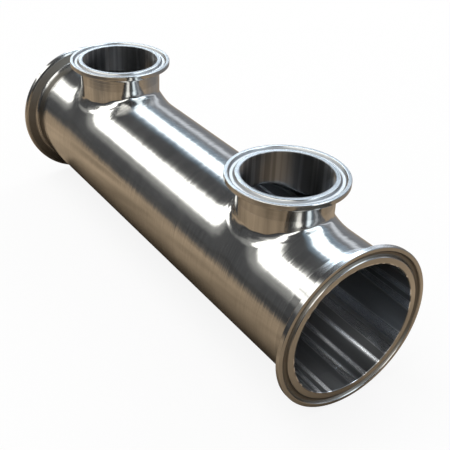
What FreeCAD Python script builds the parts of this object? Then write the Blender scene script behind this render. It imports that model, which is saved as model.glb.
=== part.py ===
import FreeCAD, Part
import math
import os

# Pulled manifold of stainless sanitary tube, in millimetres.
# A straight run of tube lies along X, and two outlets are pulled out of its wall, pointing up along Z.
# Each of the four ports ends in a weld ferrule, a turned ring with a gasket groove in its face.
# The origin is on the centre line of the run, midway between the outlets.

# Run tube, 3 inch
run_tube_od = 76.2
run_tube_wall = 1.65

# Outlet tube size, 2 inch, with the outlets 7 inches apart and 2 3/8 inches from the ends
outlet_tube_od = 50.8
outlet_tube_wall = 1.65
outlet_spacing = 177.8
outlet_to_end = 60.325

# Pulled collar: its height above the crown of the run, the straight land left at its lip,
# and the radius of the blend on its flank. At the crown the blend takes the height below the land.
collar_height = 6.35
collar_land = 0.85
flank_blend_radius = 21.0

# Weld ferrules, measured from the sealing face to the weld
run_ferrule_length = 12.7
outlet_ferrule_length = 12.7
run_flange_od = 90.9
outlet_flange_od = 63.9
flange_rim_thickness = 2.85
flange_bevel_degrees = 20.0
flange_edge_radius = 0.5
hub_fillet_radius = 1.2
bore_edge_radius = 0.3

# Gasket groove in the sealing face: its centre line lies in from the rim, and it leaves a land on each side
groove_inset = 3.8
groove_least_land = 1.2
groove_mouth_width = 3.6
groove_floor_width = 1.6
groove_depth = 1.5
groove_lip_radius = 0.35
groove_floor_radius = 0.7

# Sizes that follow from the ones above
run_radius = run_tube_od / 2
run_bore_radius = run_radius - run_tube_wall
outlet_radius = outlet_tube_od / 2
outlet_bore_radius = outlet_radius - outlet_tube_wall
outlet_x = outlet_spacing / 2
run_face_x = outlet_x + outlet_to_end
run_weld_x = run_face_x - run_ferrule_length
outlet_weld_z = run_radius + collar_height
outlet_face_z = outlet_weld_z + outlet_ferrule_length
crown_blend_radius = collar_height - collar_land

ORIGIN = FreeCAD.Vector(0, 0, 0)
ALONG_X = FreeCAD.Vector(1, 0, 0)
ALONG_Y = FreeCAD.Vector(0, 1, 0)
ALONG_Z = FreeCAD.Vector(0, 0, 1)
SIDES = (("left", -1), ("right", 1))

# The largest share of a straight side that a rounding at its end may take up
ROUNDING_SHARE = 0.45


def rounded_outline(corners):
    """A closed wire in the XZ plane through corners given as (x, z, rounding radius).

    A rounding gets smaller where the sides that it joins are too short for it.
    """
    points = [FreeCAD.Vector(x, 0, z) for x, z, rounding in corners]
    arcs = []
    for index, here in enumerate(points):
        back = points[index - 1] - here
        ahead = points[(index + 1) % len(points)] - here
        half_angle = back.getAngle(ahead) / 2
        longest_reach = ROUNDING_SHARE * min(back.Length, ahead.Length)
        reach = min(corners[index][2] / math.tan(half_angle), longest_reach)
        rounding = reach * math.tan(half_angle)
        back.normalize()
        ahead.normalize()
        inward = (back + ahead).normalize() * (rounding / math.sin(half_angle) - rounding)
        arcs.append((here + back * reach, here + inward, here + ahead * reach))
    edges = []
    for index, (start, middle, end) in enumerate(arcs):
        if corners[index][2] > 0:
            edges.append(Part.Arc(start, middle, end).toShape())
        next_start = arcs[(index + 1) % len(arcs)][0]
        edges.append(Part.LineSegment(end, next_start).toShape())
    return Part.Wire(edges)


def weld_ferrule(tube_od, wall, length, flange_od):
    """A turned ferrule about the Z axis, its sealing face at height 0 and its weld end below.

    On a narrow face the groove moves to the middle and gets narrower, with its shape kept.
    """
    tube_radius = tube_od / 2
    bore_radius = tube_radius - wall
    rim_radius = flange_od / 2
    bevel_height = (rim_radius - tube_radius) * math.tan(math.radians(flange_bevel_degrees))
    hub_depth = flange_rim_thickness + bevel_height
    groove_radius = max(rim_radius - groove_inset, (bore_radius + rim_radius) / 2)
    groove_room = rim_radius - groove_radius - groove_least_land
    half_mouth = min(groove_mouth_width / 2, groove_room)
    half_floor = half_mouth * groove_floor_width / groove_mouth_width
    section = rounded_outline([
        (bore_radius, 0, bore_edge_radius),
        (groove_radius - half_mouth, 0, groove_lip_radius),
        (groove_radius - half_floor, -groove_depth, groove_floor_radius),
        (groove_radius + half_floor, -groove_depth, groove_floor_radius),
        (groove_radius + half_mouth, 0, groove_lip_radius),
        (rim_radius, 0, flange_edge_radius),
        (rim_radius, -flange_rim_thickness, flange_edge_radius),
        (tube_radius, -hub_depth, hub_fillet_radius),
        (tube_radius, -length, 0),
        (bore_radius, -length, 0)])
    return Part.Face(section).revolve(ORIGIN, ALONG_Z, 360)


def blended_quarter(run_r, branch_r, branch_top, crown_blend, flank_blend):
    """The quarter of a tee in +X and +Y, above the run's axis, with its saddle edge blended.

    The blend's radius grows smoothly along the saddle, from the crown of the run to its flank.
    The quarter ends halfway between the foot of the blend and the weld at the run's end.
    """
    reach = (branch_r + crown_blend + run_weld_x - outlet_x) / 2
    run = Part.makeCylinder(run_r, reach, ORIGIN, ALONG_X)
    branch = Part.makeCylinder(branch_r, branch_top, ORIGIN, ALONG_Z)
    quarter_space = Part.makeBox(reach, run_r + branch_r, branch_top)
    body = run.fuse(branch).common(quarter_space).removeSplitter()
    crown_end = FreeCAD.Vector(branch_r, 0, run_r)
    flank_end = FreeCAD.Vector(0, branch_r, math.sqrt(run_r ** 2 - branch_r ** 2))
    for edge in body.Edges:
        ends = (edge.firstVertex().Point, edge.lastVertex().Point)
        if ends[0].isEqual(crown_end, 1e-3) and ends[1].isEqual(flank_end, 1e-3):
            return body.makeFillet(crown_blend, flank_blend, [edge])
        if ends[0].isEqual(flank_end, 1e-3) and ends[1].isEqual(crown_end, 1e-3):
            return body.makeFillet(flank_blend, crown_blend, [edge])
    raise ValueError("no saddle edge between the run and the branch")


def blended_tee(run_r, branch_r, crown_blend, flank_blend):
    """A full cylinder for the run, with a branch blended into it at each outlet."""
    quarter = blended_quarter(run_r, branch_r, outlet_weld_z, crown_blend, flank_blend)
    half = [quarter, quarter.mirror(ORIGIN, ALONG_Y)]
    whole = half + [piece.mirror(ORIGIN, ALONG_X) for piece in half]
    branches = []
    for _, side in SIDES:
        for piece in whole:
            placed = piece.copy()
            placed.translate(ALONG_X * (side * outlet_x))
            branches.append(placed)
    run = Part.makeCylinder(run_r, 2 * run_weld_x, ALONG_X * -run_weld_x, ALONG_X)
    return run.fuse(branches).removeSplitter()


def header_tube():
    """The run tube with its collars drawn out of the wall, which keeps its thickness round the blend."""
    outside = blended_tee(run_radius, outlet_radius, crown_blend_radius, flank_blend_radius)
    inside = blended_tee(
        run_bore_radius, outlet_bore_radius,
        crown_blend_radius + run_tube_wall, flank_blend_radius + run_tube_wall)
    return outside.cut(inside).Solids[0]


def run_ferrule(side):
    """The ferrule on one end of the run, facing outwards."""
    ferrule = weld_ferrule(run_tube_od, run_tube_wall, run_ferrule_length, run_flange_od)
    ferrule.rotate(ORIGIN, ALONG_Y, 90 * side)
    ferrule.translate(ALONG_X * (side * run_face_x))
    return ferrule


def outlet_ferrule(side):
    """The ferrule on one outlet, facing up."""
    ferrule = weld_ferrule(
        outlet_tube_od, outlet_tube_wall, outlet_ferrule_length, outlet_flange_od)
    ferrule.translate(FreeCAD.Vector(side * outlet_x, 0, outlet_face_z))
    return ferrule


def write_piece(name, shape):
    """One file for each piece of the manifold."""
    shape.exportStep("parts/" + name + ".step")
    print(name, len(shape.Solids), "solid", round(shape.Volume), "mm3")


os.makedirs("parts", exist_ok=True)
write_piece("header_tube", header_tube())
for name, side in SIDES:
    write_piece("run_ferrule_" + name, run_ferrule(side))
    write_piece("outlet_ferrule_" + name, outlet_ferrule(side))
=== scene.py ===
# %% [markdown]
# A pulled manifold in polished steel. The real object is one welded fitting: a straight 3 inch tube, two 2 inch
# outlets drawn out of its wall, and a turned ferrule on each of the four ports. The imported CAD model gives the
# sizes and places, so everything in this lesson is in metres in the CAD frame: X runs along the tube, Z up through
# the outlets, and the origin lies on the tube's centre line, midway between the outlets.
# The first cell loads that model as a frame, and a small call reads the box of any of its parts.

# %% Load the frame
import bpy
import math
from mathutils import Matrix, Vector


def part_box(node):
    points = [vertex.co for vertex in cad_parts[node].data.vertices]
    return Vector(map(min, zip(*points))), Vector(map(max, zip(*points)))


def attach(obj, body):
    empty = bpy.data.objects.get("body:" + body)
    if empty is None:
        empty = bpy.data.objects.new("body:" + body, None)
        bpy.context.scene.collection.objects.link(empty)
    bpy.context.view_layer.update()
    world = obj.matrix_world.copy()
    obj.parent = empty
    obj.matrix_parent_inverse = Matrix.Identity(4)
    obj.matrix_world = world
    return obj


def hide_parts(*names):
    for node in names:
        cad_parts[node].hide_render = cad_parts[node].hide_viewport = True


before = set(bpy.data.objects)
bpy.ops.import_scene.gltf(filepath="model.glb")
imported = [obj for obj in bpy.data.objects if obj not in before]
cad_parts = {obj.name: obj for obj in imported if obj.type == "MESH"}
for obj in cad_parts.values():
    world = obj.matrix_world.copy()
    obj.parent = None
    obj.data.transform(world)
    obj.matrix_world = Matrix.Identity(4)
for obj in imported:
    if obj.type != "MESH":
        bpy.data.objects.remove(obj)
scene = bpy.context.scene
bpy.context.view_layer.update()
print("nodes:", sorted(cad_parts))

# %% [markdown]
# The camera comes first, because every later choice is judged through it. Its place and lens were worked out from
# the ellipses of the flanges and bores in the photograph. A camera looks along its own minus Z, so the three
# columns of its matrix are the picture's right, the picture's up, and the direction back from the object.

# %% Camera
camera_place = Vector((0.3607945, -0.2290730, 0.2471368))
picture_right = Vector((0.55671895, 0.82972408, 0.04027359))
picture_down = Vector((0.46022333, -0.26770864, -0.84647892))
looking_along = Vector((-0.69156236, 0.4897857, -0.53089685))

lens = bpy.data.cameras.new("photo_lens")
lens.sensor_width = 36.0
lens.lens = 64.865
lens.clip_start = 0.01
camera = bpy.data.objects.new("photo_camera", lens)
turned_to = Matrix((picture_right, -picture_down, -looking_along)).transposed()
camera.matrix_world = Matrix.Translation(camera_place) @ turned_to.to_4x4()
scene.collection.objects.link(camera)
scene.camera = camera
scene.view_settings.view_transform = "Standard"
print("camera at", [round(c, 3) for c in camera_place], "lens", round(lens.lens, 3))

# %% [markdown]
# Shader nodes are easier to read when one short call makes a node and joins it up. Plug makes a node of a given
# kind, sets its options, and gives each named input either a number or another node's output. The calls after it
# make one kind of node each: a sum, and a spread, which carries a number from one range over to another.

# %% Node helpers
def new_tree(kind, name):
    holder = kind.new(name)
    holder.use_nodes = True
    tree = holder.node_tree
    tree.nodes.clear()
    return holder, tree


def plug(tree, kind, inputs=None, **options):
    node = tree.nodes.new("ShaderNode" + kind)
    for name, value in options.items():
        setattr(node, name, value)
    for name, value in (inputs or {}).items():
        socket = node.inputs[name]
        if isinstance(value, bpy.types.NodeSocket):
            tree.links.new(value, socket)
        else:
            socket.default_value = value
    return node


def sums(tree, operation, *terms):
    return plug(tree, "Math", dict(enumerate(terms)), operation=operation).outputs[0]


def spread(tree, value, low, high, to_low=0.0, to_high=1.0, smooth=True):
    ease = "SMOOTHSTEP" if smooth else "LINEAR"
    return plug(tree, "MapRange", {"Value": value, "From Min": low, "From Max": high, "To Min": to_low,
                                   "To Max": to_high}, interpolation_type=ease).outputs["Result"]


print("node helpers ready")

# %% [markdown]
# Colours, places and directions are all vectors to a node tree, so the same few calls serve them all.

# %% Vector helpers
def vectors(tree, operation, *terms, result="Vector"):
    return plug(tree, "VectorMath", dict(enumerate(terms)), operation=operation).outputs[result]


def scaled(tree, vector, factor):
    return plug(tree, "VectorMath", {0: vector, "Scale": factor}, operation="SCALE").outputs["Vector"]


def vector_sum(tree, first, *others):
    total = first
    for other in others:
        total = vectors(tree, "ADD", total, other)
    return total


def unit(tree, vector):
    return vectors(tree, "NORMALIZE", vector)


def square_to(tree, first, second):
    return unit(tree, vectors(tree, "CROSS_PRODUCT", first, second))


def mixed(tree, share, first, second, kind="VECTOR"):
    return plug(tree, "Mix", {"Factor": share, "A": first, "B": second}, data_type=kind).outputs["Result"]


def mixed_colour(tree, share, first, second):
    plain = [(*colour, 1) if isinstance(colour, tuple) else colour for colour in (first, second)]
    return mixed(tree, share, *plain, kind="RGBA")


def noise(tree, vector, scale=1.0, detail=2.0, roughness=0.5):
    return plug(tree, "TexNoise", {"Vector": vector, "Scale": scale, "Detail": detail,
                                   "Roughness": roughness}).outputs["Fac"]


def object_place(tree):
    """The point's place on its object, whole and as X, Y and Z."""
    where = plug(tree, "TexCoord").outputs["Object"]
    return where, *plug(tree, "SeparateXYZ", {0: where}).outputs


print("vector helpers ready")

# %% [markdown]
# The floor is plain and pale, just under the lowest rim. The Light Path node tells the floor and the world which
# kind of ray asks: the camera, and the rays that metal or glass sends on, see them nearly white. The floor's own
# matt share keeps the shadow of the object.

# %% Floor
rim_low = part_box("run_ferrule_right")[0][2]
under_rim = 0.0004
floor_glow = 0.88


def seen_rays(tree):
    path = plug(tree, "LightPath")
    either = sums(tree, "MAXIMUM", path.outputs["Is Camera Ray"], path.outputs["Is Glossy Ray"])
    return sums(tree, "MAXIMUM", either, path.outputs["Is Transmission Ray"])


def flat_sheet(name, across, height, material):
    half = across / 2
    corners = [(-half, -half, height), (half, -half, height), (half, half, height), (-half, half, height)]
    mesh = bpy.data.meshes.new(name)
    mesh.from_pydata(corners, [], [(0, 1, 2, 3)])
    mesh.materials.append(material)
    sheet = bpy.data.objects.new(name, mesh)
    scene.collection.objects.link(sheet)
    return sheet


floor_paint, tree = new_tree(bpy.data.materials, "pale_floor")
matt = plug(tree, "BsdfDiffuse", {"Color": (0.86, 0.86, 0.86, 1)}).outputs[0]
glow = plug(tree, "Emission", {"Color": (1, 1, 1, 1), "Strength": 1.0}).outputs[0]
glow_share = sums(tree, "MULTIPLY", seen_rays(tree), floor_glow)
plug(tree, "OutputMaterial", {"Surface": plug(tree, "MixShader", {0: glow_share, 1: matt, 2: glow}).outputs[0]})
floor = flat_sheet("pale_floor", 12.0, rim_low - under_rim, floor_paint)
print("floor at", round(floor.data.vertices[0].co.z, 4))

# %% [markdown]
# The world is white to the same rays, and a plain lower level of light to the rest. At that level a colour renders
# about as it is written.

# %% World
plain_level, white_level = 0.55, 1.0
world, tree = new_tree(bpy.data.worlds, "studio_world")
level = spread(tree, seen_rays(tree), 0.0, 1.0, plain_level, white_level, smooth=False)
sky = plug(tree, "Background", {"Color": (1, 1, 1, 1), "Strength": level}).outputs[0]
plug(tree, "OutputWorld", {"Surface": sky})
scene.world = world
print("world from", plain_level, "to", white_level)

# %% [markdown]
# Polished metal shows its surroundings, so a photographer builds the picture out of cards round the object. Here
# they are one tent of dark cloth, a long tunnel round the X axis, with lit panels that run along the tube. Area
# lamps could make such bands too, but a mirror shows a plain area lamp with hard edges, and here each panel fades
# by its own amount. The angle round the tunnel picks the panel: 0 is level with the object on its far side, 90
# straight above and 180 on the near side. A highlight lies where the tube's slope turns the view to its panel.

# %% Panels of the tent
tent_radius, tent_half_length = 1.6, 4.5
tent_cloth_colour = (0.095, 0.097, 0.1)
# Each panel: the angles where it starts and ends, how far its edges fade, and its light
tent_panels = {
    "warm_near_panel": (117.3, 136.5, 4, (2.2, 2.2, 2.1)),
    "warm_lower_panel": (138.2, 148, 4, (2.2, 2.2, 2.1)),
    "warm_spill": (112, 161, 8, (0.26, 0.26, 0.245)),
    "cool_top_panel": (50, 74, 5, (2.1, 2.3, 2.4)),
    "cool_spill": (38, 82, 8, (0.14, 0.22, 0.30)),
    "far_wall_panel": (15, 27, 8, (0.62, 0.66, 0.71)),
    "far_wall_spill": (-12, 42, 10, (0.16, 0.17, 0.19)),
}
print("tent panels:", len(tent_panels))

# %% [markdown]
# The tunnel has closed ends, or a ray that runs out along the tube would see the white world past the cloth. Only
# the metal's own reflections meet it: for the camera, the lamps and the shadows it isn't there.

# %% Shape of the tent
def tunnel(name, radius, half_length, material, sides=64):
    ring = [(radius * math.cos(2 * math.pi * k / sides), radius * math.sin(2 * math.pi * k / sides))
            for k in range(sides)]
    points = [(x, y, z) for x in (-half_length, half_length) for y, z in ring]
    faces = [(k, (k + 1) % sides, sides + (k + 1) % sides, sides + k) for k in range(sides)]
    faces += [tuple(range(sides)), tuple(range(sides, 2 * sides))]
    mesh = bpy.data.meshes.new(name)
    mesh.from_pydata(points, [], faces)
    mesh.materials.append(material)
    tent = bpy.data.objects.new(name, mesh)
    scene.collection.objects.link(tent)
    return tent


def only_glossy(card):
    """Leaves a card to the rays that the metal reflects."""
    card.visible_camera = card.visible_diffuse = card.visible_transmission = False
    card.visible_shadow = card.visible_volume_scatter = False


print("tent helpers ready")

# %% [markdown]
# The cloth gives off its own light, so no lamp has to reach it. Each panel is two ramps over the angle, one that
# rises at its start and one that falls at its end, multiplied together. The panels are added up over the cloth.

# %% Reflection tent
def panel_light(tree, angle, start, end, fade, light):
    rise = spread(tree, angle, start - fade / 2, start + fade / 2)
    fall = spread(tree, angle, end - fade / 2, end + fade / 2, 1.0, 0.0)
    return scaled(tree, light, sums(tree, "MULTIPLY", rise, fall))


tent_cloth, tree = new_tree(bpy.data.materials, "tent_cloth")
_, x, y, z = object_place(tree)
degrees = sums(tree, "MULTIPLY", sums(tree, "ARCTAN2", z, y), 180 / math.pi)
# From -90 to 270, so that the cut lies straight below, where the bench hides it
angle = sums(tree, "ADD", sums(tree, "FLOORED_MODULO", sums(tree, "ADD", degrees, 90.0), 360.0), -90.0)
bands = vector_sum(tree, *[panel_light(tree, angle, *panel) for panel in tent_panels.values()])
off_ends = sums(tree, "LESS_THAN", sums(tree, "ABSOLUTE", x), tent_half_length - 0.01)
cloth_light = vector_sum(tree, scaled(tree, bands, off_ends), tent_cloth_colour)
glow = plug(tree, "Emission", {"Color": cloth_light, "Strength": 1.0}).outputs[0]
plug(tree, "OutputMaterial", {"Surface": glow})
tent = tunnel("reflection_tent", tent_radius, tent_half_length, tent_cloth)
only_glossy(tent)
print("tent", 2 * tent_half_length, "m long")

# %% [markdown]
# Below the tube the photograph's metal reflects a warm wooden bench, dark beyond its near edge. A card lies just
# above the floor for that. The lamps light it like any other surface, so the tube shades it. Paint deepens that
# shade close under the tube, where the photograph's reflection is darkest, and stops at the ends of the run. A
# painted shade also darkens the wood towards the camera's side.

# %% Bench card
bench_edges, bench_fade = (-0.25, 0.20), 0.18
bench_colour = (0.41, 0.315, 0.215)
near_colour = (0.09, 0.09, 0.09)
far_colour = (0.23, 0.23, 0.235)
under_tube, under_tube_light = (0.028, 0.085), 0.26
past_ends = (0.135, 0.158)
near_corner, near_corner_reach, near_corner_shade_level = (0.6, -0.8, 0.0), (0.15, 0.27), 0.68

bench_paint, tree = new_tree(bpy.data.materials, "bench_card")
where, x, y, _ = object_place(tree)
past_near, past_far = [spread(tree, y, edge - bench_fade / 2, edge + bench_fade / 2) for edge in bench_edges]
blotch = spread(tree, noise(tree, where, 18.0), 0.3, 0.7, 0.72, 1.2, smooth=False)
colour = mixed_colour(tree, past_near, near_colour, scaled(tree, bench_colour, blotch))
colour = mixed_colour(tree, past_far, colour, far_colour)
shade = sums(tree, "MAXIMUM", spread(tree, sums(tree, "ABSOLUTE", y), *under_tube, under_tube_light, 1.0),
             spread(tree, sums(tree, "ABSOLUTE", x), *past_ends))
# Painted shade on the bench towards the camera's side
to_corner = vectors(tree, "DOT_PRODUCT", where, near_corner, result="Value")
shade = sums(tree, "MULTIPLY", shade, spread(tree, to_corner, *near_corner_reach, 1.0, near_corner_shade_level))
matt = plug(tree, "BsdfDiffuse", {"Color": scaled(tree, colour, shade)}).outputs[0]
plug(tree, "OutputMaterial", {"Surface": matt})
bench = flat_sheet("bench_card", 8.0, rim_low - under_rim / 2, bench_paint)
only_glossy(bench)
print("bench card from", *bench_edges)

# %% [markdown]
# Two large soft lamps light whatever isn't metal: the floor and the bench card. The metal shows the tent instead,
# so the lamps are left out of its reflections.

# %% Lamps
def soft_lamp(name, place, size, watts):
    light = bpy.data.lights.new(name, "AREA")
    light.shape = "DISK"
    light.size = size
    light.energy = watts
    lamp = bpy.data.objects.new(name, light)
    lamp.location = place
    lamp.rotation_euler = (-Vector(place)).to_track_quat("-Z", "Y").to_euler()
    scene.collection.objects.link(lamp)
    lamp.visible_glossy = False
    return lamp


lamps = [soft_lamp("overhead_lamp", (-0.3, -0.5, 1.7), 1.6, 18.0),
         soft_lamp("side_lamp", (-0.6, 1.3, 1.0), 1.2, 8.0)]
print("lamps:", [lamp.name for lamp in lamps])

# %% [markdown]
# One finish has to know which part of the fitting it is on: the same tube is polished outside, and inside it is
# left as drawn and darkened with painted shade. An image or a second material slot could say so, but plain
# distances say it without either. The places below are a point's distance from the run's centre line and from the
# axis of the nearest outlet.

# %% Places on the manifold
outlet_x = 0.0889
run_bore, outlet_bore = 0.03645, 0.02375
bore_edge = (0.0003, 0.0008)
collar_foot = 0.034


class Places:
    """Where a point lies: round the run, and round the nearest outlet."""

    def __init__(self, tree):
        self.where, x, self.y, self.z = object_place(tree)
        self.along = sums(tree, "ABSOLUTE", x)
        own_x = sums(tree, "SUBTRACT", x, sums(tree, "MULTIPLY", sums(tree, "SIGN", x), outlet_x))
        self.from_outlet = plug(tree, "CombineXYZ", {"X": own_x, "Y": self.y}).outputs[0]
        self.from_run = plug(tree, "CombineXYZ", {"Y": self.y, "Z": self.z}).outputs[0]
        self.outlet_radius = vectors(tree, "LENGTH", self.from_outlet, result="Value")
        self.run_radius = vectors(tree, "LENGTH", self.from_run, result="Value")
        self.normal = plug(tree, "NewGeometry").outputs["Normal"]
        in_run, in_neck = [spread(tree, radius, bore + bore_edge[0], bore + bore_edge[1], 1.0, 0.0)
                           for radius, bore in ((self.run_radius, run_bore), (self.outlet_radius, outlet_bore))]
        self.in_outlet = sums(tree, "MULTIPLY", in_neck, sums(tree, "GREATER_THAN", self.z, collar_foot))
        self.in_bore = sums(tree, "MAXIMUM", in_run, self.in_outlet)


def steel(tree, colour, roughness, normal, tangent, stretch):
    return plug(tree, "BsdfPrincipled", {"Base Color": colour, "Metallic": 1.0, "Roughness": roughness,
                                         "Normal": normal, "Tangent": tangent, "Anisotropic": stretch}).outputs[0]


print("places ready")

# %% [markdown]
# The bores aren't polished. Their colour is darkened with painted shade, and a few long soft lines that the
# drawing of the tube left are painted lighter, as painted reflections. The lines come from noise. If the angle
# round the bore were its coordinate, the lines would break where the angle jumps from 360 to 0, so it gets the
# direction outward instead, a point on a circle, which closes on itself. A line shows wherever that noise passes
# its middle value. The short outlet bores are rougher and calmer than the run's, and their lines get less painted
# light.

# %% Bore steel
bore_colour, bore_painted_shade = (0.82, 0.83, 0.86), 0.25
run_line_painted_light, outlet_line_painted_light = 1.16, 0.42
line_width = 0.085
bore_tilt, outlet_tilt_share = 0.07, 0.25
outlet_bore_roughness = 0.33


def bore_steel(tree, at):
    way_out = mixed(tree, at.in_outlet, unit(tree, at.from_run), unit(tree, at.from_outlet))
    along = mixed(tree, at.in_outlet, (1, 0, 0), (0, 0, 1))
    lengthwise = vectors(tree, "MULTIPLY", at.where, along)

    def marks(round_it, along_it, detail, roughness=0.5):
        place = vector_sum(tree, scaled(tree, way_out, round_it), scaled(tree, lengthwise, along_it))
        return noise(tree, place, 1.0, detail, roughness)

    from_middle = sums(tree, "ABSOLUTE", sums(tree, "SUBTRACT", marks(3.7, 1.5, 1.0), 0.5))
    line = spread(tree, from_middle, 0.0, line_width, 1.0, 0.0)
    sideways = square_to(tree, along, way_out)
    fine = spread(tree, marks(16.0, 7.0, 4.0, 0.6), 0.2, 0.8, -bore_tilt, bore_tilt, smooth=False)
    tilt = sums(tree, "MULTIPLY", fine, spread(tree, at.in_outlet, 0.0, 1.0, 1.0, outlet_tilt_share))
    normal = unit(tree, vector_sum(tree, at.normal, scaled(tree, sideways, tilt)))
    # Painted shade darkens the bore, and painted light brightens its lines
    brightest = spread(tree, at.in_outlet, 0.0, 1.0, run_line_painted_light, outlet_line_painted_light)
    colour = scaled(tree, bore_colour, spread(tree, line, 0.0, 1.0, bore_painted_shade, brightest))
    roughness = sums(tree, "MAXIMUM", spread(tree, line, 0.0, 1.0, 0.35, 0.20),
                     sums(tree, "MULTIPLY", at.in_outlet, outlet_bore_roughness))
    return steel(tree, colour, roughness, normal, sideways, 0.0)


def finished(tree, at, outside):
    """Puts the bore's painted shade and light on the inner faces and the given steel on the rest."""
    plug(tree, "OutputMaterial", {"Surface": plug(tree, "MixShader", {
        0: at.in_bore, 1: outside, 2: bore_steel(tree, at)}).outputs[0]})


print("bore finish ready")

# %% [markdown]
# Outside, sanitary tube is polished with belts that go round it. They leave a very fine grain round the tube, and
# reflections smear along the tube, across that grain. A Bump node compares heights a pixel apart, which goes wrong
# for lines finer than a pixel, so here the noise leans the normal directly, by a few hundredths. The noise is long
# round the tube and short along it. Anisotropy stretches the highlight, and roughness and colour drift a little.

# %% Grain of the tube
# How many times the noise changes in a metre, along X, Y and Z
belt_grain, fine_grain, clouds, long_marks = (1100, 30, 30), (4200, 60, 60), (60, 25, 25), (8, 500, 500)
belt_lean, mark_lean, fine_lean = 0.023, 0.010, 0.06

tube_steel, tree = new_tree(bpy.data.materials, "tube_steel")
at = Places(tree)


def tube_noise(changes, detail=2.0, roughness=0.5):
    return noise(tree, vectors(tree, "MULTIPLY", at.where, changes), 1.0, detail, roughness)


def leaning(direction, pattern, most):
    return scaled(tree, direction, spread(tree, pattern, 0.2, 0.8, -most, most, smooth=False))


on_neck = sums(tree, "MULTIPLY", spread(tree, at.outlet_radius, 0.0262, 0.0272, 1.0, 0.0),
               spread(tree, at.z, 0.030, 0.034))
round_it = mixed(tree, on_neck, square_to(tree, (1, 0, 0), at.from_run),
                 square_to(tree, (0, 0, 1), at.from_outlet))
grain = tube_noise(belt_grain, 3.0, 0.6)
tilt_round = vector_sum(tree, leaning(round_it, grain, belt_lean),
                        leaning(round_it, tube_noise(long_marks), mark_lean))
tilt_along = leaning((1, 0, 0), tube_noise(fine_grain), fine_lean)
print("grain leans the normal by up to", belt_lean)

# %% [markdown]
# The foot of each neck was ground by hand, which leaves a faint uneven ring. Its slow wave is in the mesh, and
# this bump adds a shallow groove with fine ripples. A ring is wide enough for a Bump node. It fades out along the
# very top of the tube, where the highlight runs straight into the neck, and low down on the flanks.

# %% Ground ring at the foot of the necks
ring_rise, ring_fall = (0.0256, 0.0274), (0.0276, 0.0294)
ring_depth = 0.00022
ring = sums(tree, "MULTIPLY", spread(tree, at.outlet_radius, *ring_rise),
            spread(tree, at.outlet_radius, *ring_fall, 1.0, 0.0))
uneven = spread(tree, tube_noise((230, 230, 80), 1.0), 0.3, 0.7, -0.75, -1.15)
beside_crown = sums(tree, "MULTIPLY", spread(tree, at.z, 0.010, 0.020),
                    spread(tree, sums(tree, "ABSOLUTE", at.y), 0.012, 0.018))
height = sums(tree, "MULTIPLY", sums(tree, "MULTIPLY", ring, uneven), beside_crown)
ground = plug(tree, "Bump", {"Height": height, "Distance": ring_depth}).outputs[0]
print("ring", ring_depth * 1000, "mm deep")

# %% [markdown]
# Now the tube's finish is put together: the leaned normal and the ground ring, roughness that drifts in soft
# clouds, and a colour that changes a little with the grain. One material covers the outside and the bore, so the
# piece needs no second slot.

# %% Tube steel
darker_steel, lighter_steel = (0.59, 0.585, 0.575), (0.66, 0.655, 0.64)
drift = tube_noise(clouds)
normal = unit(tree, vector_sum(tree, ground, tilt_round, tilt_along))
roughness = spread(tree, drift, 0.3, 0.7, 0.09, 0.15, smooth=False)
colour = scaled(tree, mixed_colour(tree, drift, darker_steel, lighter_steel),
                spread(tree, grain, 0.3, 0.7, 0.88, 1.08, smooth=False))
finished(tree, at, steel(tree, colour, roughness, normal, round_it, 0.5))
print(tube_steel.name, "has", len(tree.nodes), "nodes")

# %% [markdown]
# The ferrules are turned, so their marks are rings about their own axis. The noise reads only the distance from
# that axis and the place along it, and a ring is then the same all the way round. One material serves all four: it
# looks which port a point is on and takes that port's axis.

# %% Marks of the turned ferrules
ferrule_x = 0.1365
rings_per_metre, ring_lean, face_lean = 1500.0, 0.035, 5.0
facing_up = (0.85, 0.95)

ferrule_steel, tree = new_tree(bpy.data.materials, "ferrule_steel")
at = Places(tree)
on_run = sums(tree, "GREATER_THAN", at.along, ferrule_x)
axis = mixed(tree, on_run, (0, 0, 1), (1, 0, 0))
outward = unit(tree, mixed(tree, on_run, at.from_outlet, at.from_run))
round_it = mixed(tree, on_run, square_to(tree, (0, 0, 1), at.from_outlet),
                 square_to(tree, (1, 0, 0), at.from_run))
from_axis = mixed(tree, on_run, at.outlet_radius, at.run_radius, "FLOAT")
up_axis = mixed(tree, on_run, at.z, at.along, "FLOAT")
turned = plug(tree, "CombineXYZ", {"X": sums(tree, "MULTIPLY", from_axis, rings_per_metre),
                                   "Y": sums(tree, "MULTIPLY", up_axis, rings_per_metre)}).outputs[0]
upward = vectors(tree, "DOT_PRODUCT", at.normal, (0, 0, 1), result="Value")
rings = spread(tree, noise(tree, turned, 1.0, 3.0, 0.6), 0.2, 0.8, -ring_lean, ring_lean, smooth=False)
lean = sums(tree, "MULTIPLY", rings, spread(tree, upward, *facing_up, 1.0, face_lean))
normal = unit(tree, vector_sum(tree, at.normal, scaled(tree, outward, lean), scaled(tree, axis, lean)))
print("ferrules start at", ferrule_x)

# %% [markdown]
# The gasket groove shows in the photograph as thin lines: dark where its walls are steep, and on the outlets light
# along its floor. The groove's shape is in the CAD mesh. Here a mask finds it from its depth below the face and
# its distance in from the rim, and gives it a rougher finish, because a polishing wheel doesn't reach into it. Its
# colour there is painted light: painted shade on the steep walls and in the run's grooves, and a painted highlight
# along the outlets' groove floors.

# %% Gasket grooves
outlet_face, run_face = 0.05715, 0.149225
outlet_rim, run_rim = 0.03195, 0.04545
groove_depth, groove_outer, groove_inner = (0.0001, 0.0007), (0.0012, 0.0018), (0.0058, 0.0064)
groove_wall_shade, groove_floor_highlight, run_groove_shade = (0.36, 0.37, 0.39), (0.88, 0.89, 0.91), (0.20, 0.185, 0.165)

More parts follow.
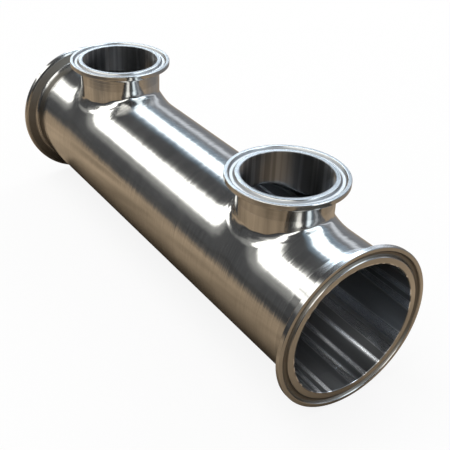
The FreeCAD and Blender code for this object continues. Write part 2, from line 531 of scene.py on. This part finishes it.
depth = sums(tree, "SUBTRACT", mixed(tree, on_run, outlet_face, run_face, "FLOAT"), up_axis)
inset = sums(tree, "SUBTRACT", mixed(tree, on_run, outlet_rim, run_rim, "FLOAT"), from_axis)
in_width = sums(tree, "MULTIPLY", spread(tree, inset, *groove_outer), spread(tree, inset, *groove_inner, 1.0, 0.0))
in_groove = sums(tree, "MULTIPLY", spread(tree, depth, *groove_depth), in_width)
# Painted shade on the groove walls and the run's grooves, painted highlight on the outlets' groove floors
outlet_groove_light_and_shade = mixed(tree, spread(tree, upward, 0.78, 0.94), groove_wall_shade, groove_floor_highlight)
groove_painted_light = mixed(tree, on_run, outlet_groove_light_and_shade, run_groove_shade)
print("groove masks", round(groove_inner[0] - groove_outer[0], 4), "m wide")

# %% [markdown]
# The turned steel is a little darker than the tube's, as in the photograph. Faces that look straight up get a
# painted highlight, a paler colour, and are rougher, because the photograph shows the outlets' sealing faces
# nearly white.

# %% Ferrule steel
turned_dark, turned_light, face_painted_highlight = (0.48, 0.475, 0.47), (0.55, 0.545, 0.535), (0.95, 0.96, 0.97)
drift = noise(tree, at.where, 60.0, 2.0)
on_face = spread(tree, upward, *facing_up)
# Painted highlight on faces that look straight up
colour = mixed(tree, on_face, mixed_colour(tree, drift, turned_dark, turned_light), face_painted_highlight)
colour = mixed(tree, in_groove, colour, groove_painted_light)
roughness = spread(tree, drift, 0.3, 0.7, 0.07, 0.13, smooth=False)
roughness = sums(tree, "ADD", roughness, sums(tree, "MULTIPLY", in_groove, 0.34))
roughness = sums(tree, "ADD", roughness, sums(tree, "MULTIPLY", on_face, 0.14))
finished(tree, at, steel(tree, colour, roughness, normal, round_it, 0.3))
print(ferrule_steel.name, "has", len(tree.nodes), "nodes")

# %% [markdown]
# Each CAD node now gets its steel. The outlet ferrules are left out of mirror reflections: in the photograph the
# bands of light on the crown run right up to the foot of the necks, and here the mirror image of the flanges'
# undersides would cut them short.

# %% Steel on the pieces
for name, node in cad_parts.items():
    node.data.materials[0] = tube_steel if name == "header_tube" else ferrule_steel
for name in ("outlet_ferrule_left", "outlet_ferrule_right"):
    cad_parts[name].visible_glossy = False
print("materials on", len(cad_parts), "nodes")

# %% [markdown]
# The tube is the main piece, and its shape follows a rule, so Geometry Nodes make it. The rule is arithmetic on
# positions, and such formulas are hard to read as a chain of Math nodes. A small class gives node sockets ordinary
# arithmetic: each plus or times written in the script adds one Math node to the tree.

# %% Arithmetic for node trees
class Amount:
    """A number that a node tree works out."""

    def __init__(self, tree, socket):
        self.tree, self.socket = tree, socket

    def node(self, operation, *terms):
        return Amount(self.tree, sums(self.tree, operation, *[plain(term) for term in terms]))

    def __add__(self, other): return self.node("ADD", self, other)
    def __radd__(self, other): return self.node("ADD", other, self)
    def __sub__(self, other): return self.node("SUBTRACT", self, other)
    def __rsub__(self, other): return self.node("SUBTRACT", other, self)
    def __mul__(self, other): return self.node("MULTIPLY", self, other)
    def __truediv__(self, other): return self.node("DIVIDE", self, other)
    def __pow__(self, other): return self.node("POWER", self, other)
    def __gt__(self, other): return self.node("GREATER_THAN", self, other)
    def root(self): return self.node("SQRT", self)
    def size(self): return self.node("ABSOLUTE", self)
    def sine(self): return self.node("SINE", self)
    def cosine(self): return self.node("COSINE", self)
    def angle_from(self, other): return self.node("ARCTAN2", self, other)
    def at_least(self, other): return self.node("MAXIMUM", self, other)
    def at_most(self, other): return self.node("MINIMUM", self, other)

    def part(self, low, high):
        """How far this has come from low to high, from 0 to 1."""
        return Amount(self.tree, spread(self.tree, self.socket, low, high, smooth=False))


def plain(value):
    return value.socket if isinstance(value, Amount) else value


def between(start, end, share):
    return start + (end - start) * share


print("amounts ready")

# %% [markdown]
# A Geometry Nodes tree needs a few calls of its own. A group is a tree with a named input for each size. A net is
# a flat grid whose points are then moved to their places, row by row and thread by thread.

# %% Helpers for shapes
def node_group(name, sizes):
    """A Geometry Nodes tree with one number input for each size, and the sizes as amounts."""
    tree = bpy.data.node_groups.new(name, "GeometryNodeTree")
    tree.interface.new_socket("Geometry", in_out="OUTPUT", socket_type="NodeSocketGeometry")
    for size, value in sizes.items():
        socket = tree.interface.new_socket(size, in_out="INPUT", socket_type="NodeSocketFloat")
        socket.default_value = value
    start = tree.nodes.new("NodeGroupInput")
    return tree, {size: Amount(tree, start.outputs[size]) for size in sizes}


def feed(tree, node, inputs):
    for name, value in inputs.items():
        value = plain(value)
        if isinstance(value, bpy.types.NodeSocket):
            tree.links.new(value, node.inputs[name])
        else:
            node.inputs[name].default_value = value


def shape_node(tree, kind, inputs=None, **options):
    node = tree.nodes.new("GeometryNode" + kind)
    for name, value in options.items():
        setattr(node, name, value)
    feed(tree, node, inputs or {})
    return node


def inside(tree, group, sizes):
    """Uses a finished group as one node of another tree."""
    node = tree.nodes.new("GeometryNodeGroup")
    node.node_tree = group
    feed(tree, node, sizes)
    return node.outputs[0]


def point(tree, x, y, z):
    return plug(tree, "CombineXYZ", {"X": plain(x), "Y": plain(y), "Z": plain(z)}).outputs[0]


def net(tree, rows, columns):
    """A flat grid, and the shares (0 to 1) of the way along its rows and its columns at each point."""
    grid = shape_node(tree, "MeshGrid", {"Size X": 1.0, "Size Y": 1.0, "Vertices X": rows + 1,
                                         "Vertices Y": columns + 1})
    flat = plug(tree, "SeparateXYZ", {0: shape_node(tree, "InputPosition").outputs[0]})
    return grid.outputs["Mesh"], Amount(tree, flat.outputs["X"]) + 0.5, Amount(tree, flat.outputs["Y"]) + 0.5


def placed(tree, mesh, position):
    return shape_node(tree, "SetPosition", {"Geometry": mesh, "Position": position}).outputs[0]


def whole(tree, geometry):
    tree.links.new(geometry, tree.nodes.new("NodeGroupOutput").inputs[0])


print("shape helpers ready")

# %% [markdown]
# One wall of the tube round one outlet. A drawn collar is not a cylinder set on a cylinder: a die pulls the wall
# of the tube up into a short neck, and lifts the metal round it into a low mound that dies away over the tube. A
# net of points is laid over it like a spider's web: its rings go round the outlet, and its threads run from the
# lip down the neck, through a tight bend at its foot, and out over the tube as far as the weld, the middle of the
# tube and the seam underneath. First come the sizes, and where each thread starts and ends.

# %% Threads of the net
# The saddle's sizes along the crown, across it down the flank, and in between
saddle = {"lift_along": 0.0015, "lift_across": 0.0047, "lift_between": 0.0024, "mound_along": 0.015,
          "mound_across": 0.0270, "mound_between": 0.0120, "bend": 0.0012, "foot_wave": 0.0005}
edges = {"to_weld": 0.047625, "to_middle": 0.0889, "seam_radius": 0.0381}
radii = {"run_radius": 0.0381, "outlet_radius": 0.0254, "lip_height": 0.04445}
threads = (136, 58, 108, 58)


def thread_angle(share, sizes):
    """The direction of a thread round the outlet. Threads end at the corners of the net's outer edge."""
    half_seam = sizes["seam_radius"] * math.pi
    to_weld_corner = half_seam.angle_from(sizes["to_weld"])
    to_middle_corner = half_seam.angle_from(sizes["to_middle"] * -1)
    seam_side = to_middle_corner - to_weld_corner
    marks = [sum(threads[:count]) / sum(threads) for count in range(5)]
    turn = to_weld_corner * -1
    for low, high, angle in zip(marks, marks[1:], (to_weld_corner * 2, seam_side,
                                                   (math.pi - to_middle_corner) * 2, seam_side)):
        turn = turn + share.part(low, high) * angle
    return turn


def outer_edge(turn, sizes):
    """Where a thread ends: along the tube, and as an angle round the tube from the top."""
    along, across = turn.cosine(), turn.sine()
    reach = between(sizes["to_middle"], sizes["to_weld"], along > 0.0)
    longest = (reach / along.size().at_least(1e-6)).at_most(
        sizes["seam_radius"] * math.pi / across.size().at_least(1e-6))
    return longest * along, longest * across / sizes["seam_radius"]


print("threads:", sum(threads))

# %% [markdown]
# The mound's height falls off with the cube of the distance still to go, which leaves no visible line where it
# ends: polished metal would show even a small change of curvature as a kink in a highlight. A small wave at the
# foot of the neck stands for the hand grinding of the weld, and it dies away in the same manner.

# %% Mound round an outlet
neck_rows, bend_rows, tube_rows = 3, 10, 48
rows = neck_rows + bend_rows + tube_rows
waves_round, first_wave, wave_groups, wave_reach = 11.0, 0.6, 4.0, 0.006

wall, wall_in = node_group("drawn_wall", {**radii, **saddle, **edges})
mesh, down, around = net(wall, rows, sum(threads))
turn = thread_angle(around, wall_in)
along, across = turn.cosine(), turn.sine()
run, neck = wall_in["run_radius"], wall_in["outlet_radius"]


def round_outlet(size):
    """A size that has one value along the tube, one across it, and one in between."""
    middle = wall_in[size + "_between"]
    return (middle + (wall_in[size + "_along"] - middle) * (along * along) ** 4.0
            + (wall_in[size + "_across"] - middle) * (across * across) ** 4.0)


lift, mound = round_outlet("lift"), round_outlet("mound")
wave = wall_in["foot_wave"] * (turn * waves_round + first_wave).sine() * (turn * wave_groups).cosine()
neck_x, neck_y = neck * along, neck * across
neck_z = ((run + lift + wave) * (run + lift + wave) - neck_y * neck_y).root()
neck_turn = neck_y.angle_from(neck_z)
edge_x, edge_turn = outer_edge(turn, wall_in)
long_way, round_way = edge_x - neck_x, (edge_turn - neck_turn) * run
thread_length = (long_way * long_way + round_way * round_way).root()


def on_mound(distance):
    """A place on the tube, with its mound, at this distance from the neck along a thread."""
    share = distance / thread_length
    radius = (run + lift * (1 - distance / mound).at_least(0.0) ** 3.0
              + wave * (1 - distance / wave_reach).at_least(0.0) ** 3.0)
    angle = between(neck_turn, edge_turn, share)
    return between(neck_x, edge_x, share), radius * angle.sine(), radius * angle.cosine()


print("mound up to", saddle["mound_across"], "m wide")

# %% [markdown]
# The bend between neck and mound is a Bezier curve, because its handles keep it smooth at both ends: the upper one
# points straight down the neck, and the lower one along the mound, whose slope comes from two near places on it.

# %% One wall of the drawn tube
upper_handle, lower_handle, steps_per_metre = 0.4, 0.6, 1e5
crowding = 1.7

bend = wall_in["bend"]
leave = on_mound(bend)
further = on_mound(bend + 1 / steps_per_metre)
top = (neck_x, neck_y, neck_z + bend)
upper = (neck_x, neck_y, neck_z + bend * upper_handle)
lower = tuple(here - (there - here) * (bend * lower_handle * steps_per_metre)
              for here, there in zip(leave, further))
t = down.part(neck_rows / rows, (neck_rows + bend_rows) / rows)
left = 1 - t
shares = (left * left * left, left * left * t * 3, left * t * t * 3, t * t * t)
curve = [sum((share * place for share, place in zip(shares, places)), 0.0)
         for places in zip(top, upper, lower, leave)]
rise = (1 - down.part(0.0, neck_rows / rows)) * (wall_in["lip_height"] - neck_z - bend)
out = down.part((neck_rows + bend_rows) / rows, 1.0)
tube_spot = on_mound(between(bend, thread_length, out ** crowding))
spot = mixed(wall, plain(out > 0.0), point(wall, curve[0], curve[1], curve[2] + rise), point(wall, *tube_spot))
whole(wall, placed(wall, mesh, spot))
print("wall net:", rows, "by", sum(threads))

# %% [markdown]
# Sheet metal has an outer and an inner wall, and two flat rings close it, at the lip and at the weld end. The
# rings use the same threads as the walls, so that their points meet.

# %% Rings that close the wall
lip, lip_in = node_group("lip_ring", {"outer": 0.0254, "inner": 0.02375, "height": 0.04445, **edges})
mesh, across_ring, around = net(lip, 1, sum(threads))
turn = thread_angle(around, lip_in)
radius = between(lip_in["outer"], lip_in["inner"], across_ring)
whole(lip, placed(lip, mesh, point(lip, radius * turn.cosine(), radius * turn.sine(), lip_in["height"])))

end, end_in = node_group("end_ring", {"outer": 0.0381, "inner": 0.03645, **edges})
mesh, across_ring, around = net(end, 1, threads[0])
turn = thread_angle(around * (threads[0] / sum(threads)), end_in)
edge_x, edge_turn = outer_edge(turn, end_in)
radius = between(end_in["outer"], end_in["inner"], across_ring)
weld_spot = point(end, end_in["to_weld"], radius * edge_turn.sine(), radius * edge_turn.cosine())
whole(end, placed(end, mesh, weld_spot))
print("rings:", lip.name, end.name)

# %% [markdown]
# The whole tube is one more tree. The inner wall is the outer one made smaller by the wall's thickness, with a
# wider bend, and turned inside out. A single wall thickened by Solidify would be shorter to write, but this way
# the bores get their exact radius from named sizes, and the inner wall can leave out the ground waves.

# %% Half of the drawn tube
drawn, drawn_in = node_group("drawn_tube", {**radii, **saddle, "wall": 0.00165, "outlet_place": 0.0889,
                                            "to_weld": edges["to_weld"]})


def joined(tree, *parts):
    join = tree.nodes.new("GeometryNodeJoinGeometry")
    for part in reversed(parts):
        tree.links.new(part, join.inputs[0])
    return join.outputs[0]


def flipped(tree, mesh):
    return shape_node(tree, "FlipFaces", {"Mesh": mesh}).outputs[0]


run, neck, thickness = drawn_in["run_radius"], drawn_in["outlet_radius"], drawn_in["wall"]
common = {"to_weld": drawn_in["to_weld"], "to_middle": drawn_in["outlet_place"], "seam_radius": run}
shared = {**common, "lip_height": drawn_in["lip_height"], **{size: drawn_in[size] for size in saddle}}
outer = inside(drawn, wall, {**shared, "run_radius": run, "outlet_radius": neck})
inner = inside(drawn, wall, {**shared, "run_radius": run - thickness, "outlet_radius": neck - thickness,
                             "bend": drawn_in["bend"] + thickness, "foot_wave": 0.0})
lip_ring = inside(drawn, lip, {**common, "outer": neck, "inner": neck - thickness,
                               "height": drawn_in["lip_height"]})
end_ring = inside(drawn, end, {**common, "outer": run, "inner": run - thickness})
half = joined(drawn, outer, flipped(drawn, inner), flipped(drawn, lip_ring), end_ring)
print("sizes of the tree:", sorted(drawn_in))

# %% [markdown]
# The half is mirrored for the other outlet, and points that lie together are merged, which closes every seam. A
# mirror turns faces inside out, so that half's faces are flipped back. Shading stays sharp only where two faces
# meet at a steep angle, at the lip and at the ends.

# %% Both halves together
same_place, steep = 2e-6, 0.6


def moved(tree, mesh, **inputs):
    return shape_node(tree, "Transform", {"Geometry": mesh, **inputs}).outputs[0]


half = moved(drawn, half, Translation=point(drawn, drawn_in["outlet_place"], 0.0, 0.0))
other_half = flipped(drawn, moved(drawn, half, Scale=(-1.0, 1.0, 1.0)))
merged = shape_node(drawn, "MergeByDistance", {"Geometry": joined(drawn, half, other_half),
                                               "Distance": same_place}).outputs[0]
fold = Amount(drawn, shape_node(drawn, "InputMeshEdgeAngle").outputs["Unsigned Angle"])
soft = shape_node(drawn, "SetShadeSmooth", {"Geometry": merged, "Shade Smooth": True}, domain="FACE").outputs[0]
crisp = shape_node(drawn, "SetShadeSmooth", {"Geometry": soft, "Selection": fold > steep, "Shade Smooth": False},
                   domain="EDGE").outputs[0]
real = shape_node(drawn, "RealizeInstances", {"Geometry": crisp}).outputs[0]
coated = shape_node(drawn, "SetMaterial", {"Geometry": real, "Material": tube_steel}).outputs[0]
whole(drawn, coated)
print(drawn.name, "has", len(drawn.nodes), "nodes")

# %% [markdown]
# A modifier runs the tree on an empty seed object. Its inputs are set by their identifiers, because two inputs may
# share a name. The result is kept as a plain mesh and the modifier is dropped, so the export finds a finished
# piece. It takes the place of the plainer CAD tube, whose collars have no mound.

# %% The drawn tube
def grown(name, tree, **sizes):
    """A plain mesh object that a Geometry Nodes tree makes with these sizes."""
    seed = bpy.data.objects.new(name + "_seed", bpy.data.meshes.new(name + "_seed"))
    scene.collection.objects.link(seed)
    maker = seed.modifiers.new("maker", "NODES")
    maker.node_group = tree
    keys = {item.name: item.identifier for item in tree.interface.items_tree if item.in_out == "INPUT"}
    for size, value in sizes.items():
        maker[keys[size]] = value
    shaped = seed.evaluated_get(bpy.context.evaluated_depsgraph_get())
    mesh = bpy.data.meshes.new_from_object(shaped)
    seed.modifiers.remove(maker)
    bpy.data.objects.remove(seed)
    piece = bpy.data.objects.new(name, mesh)
    scene.collection.objects.link(piece)
    return piece


drawn_tube = grown("drawn_tube", drawn, run_radius=radii["run_radius"])
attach(drawn_tube, "root")
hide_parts("header_tube")
print(drawn_tube.name, len(drawn_tube.data.vertices), "points", len(drawn_tube.data.polygons), "faces")
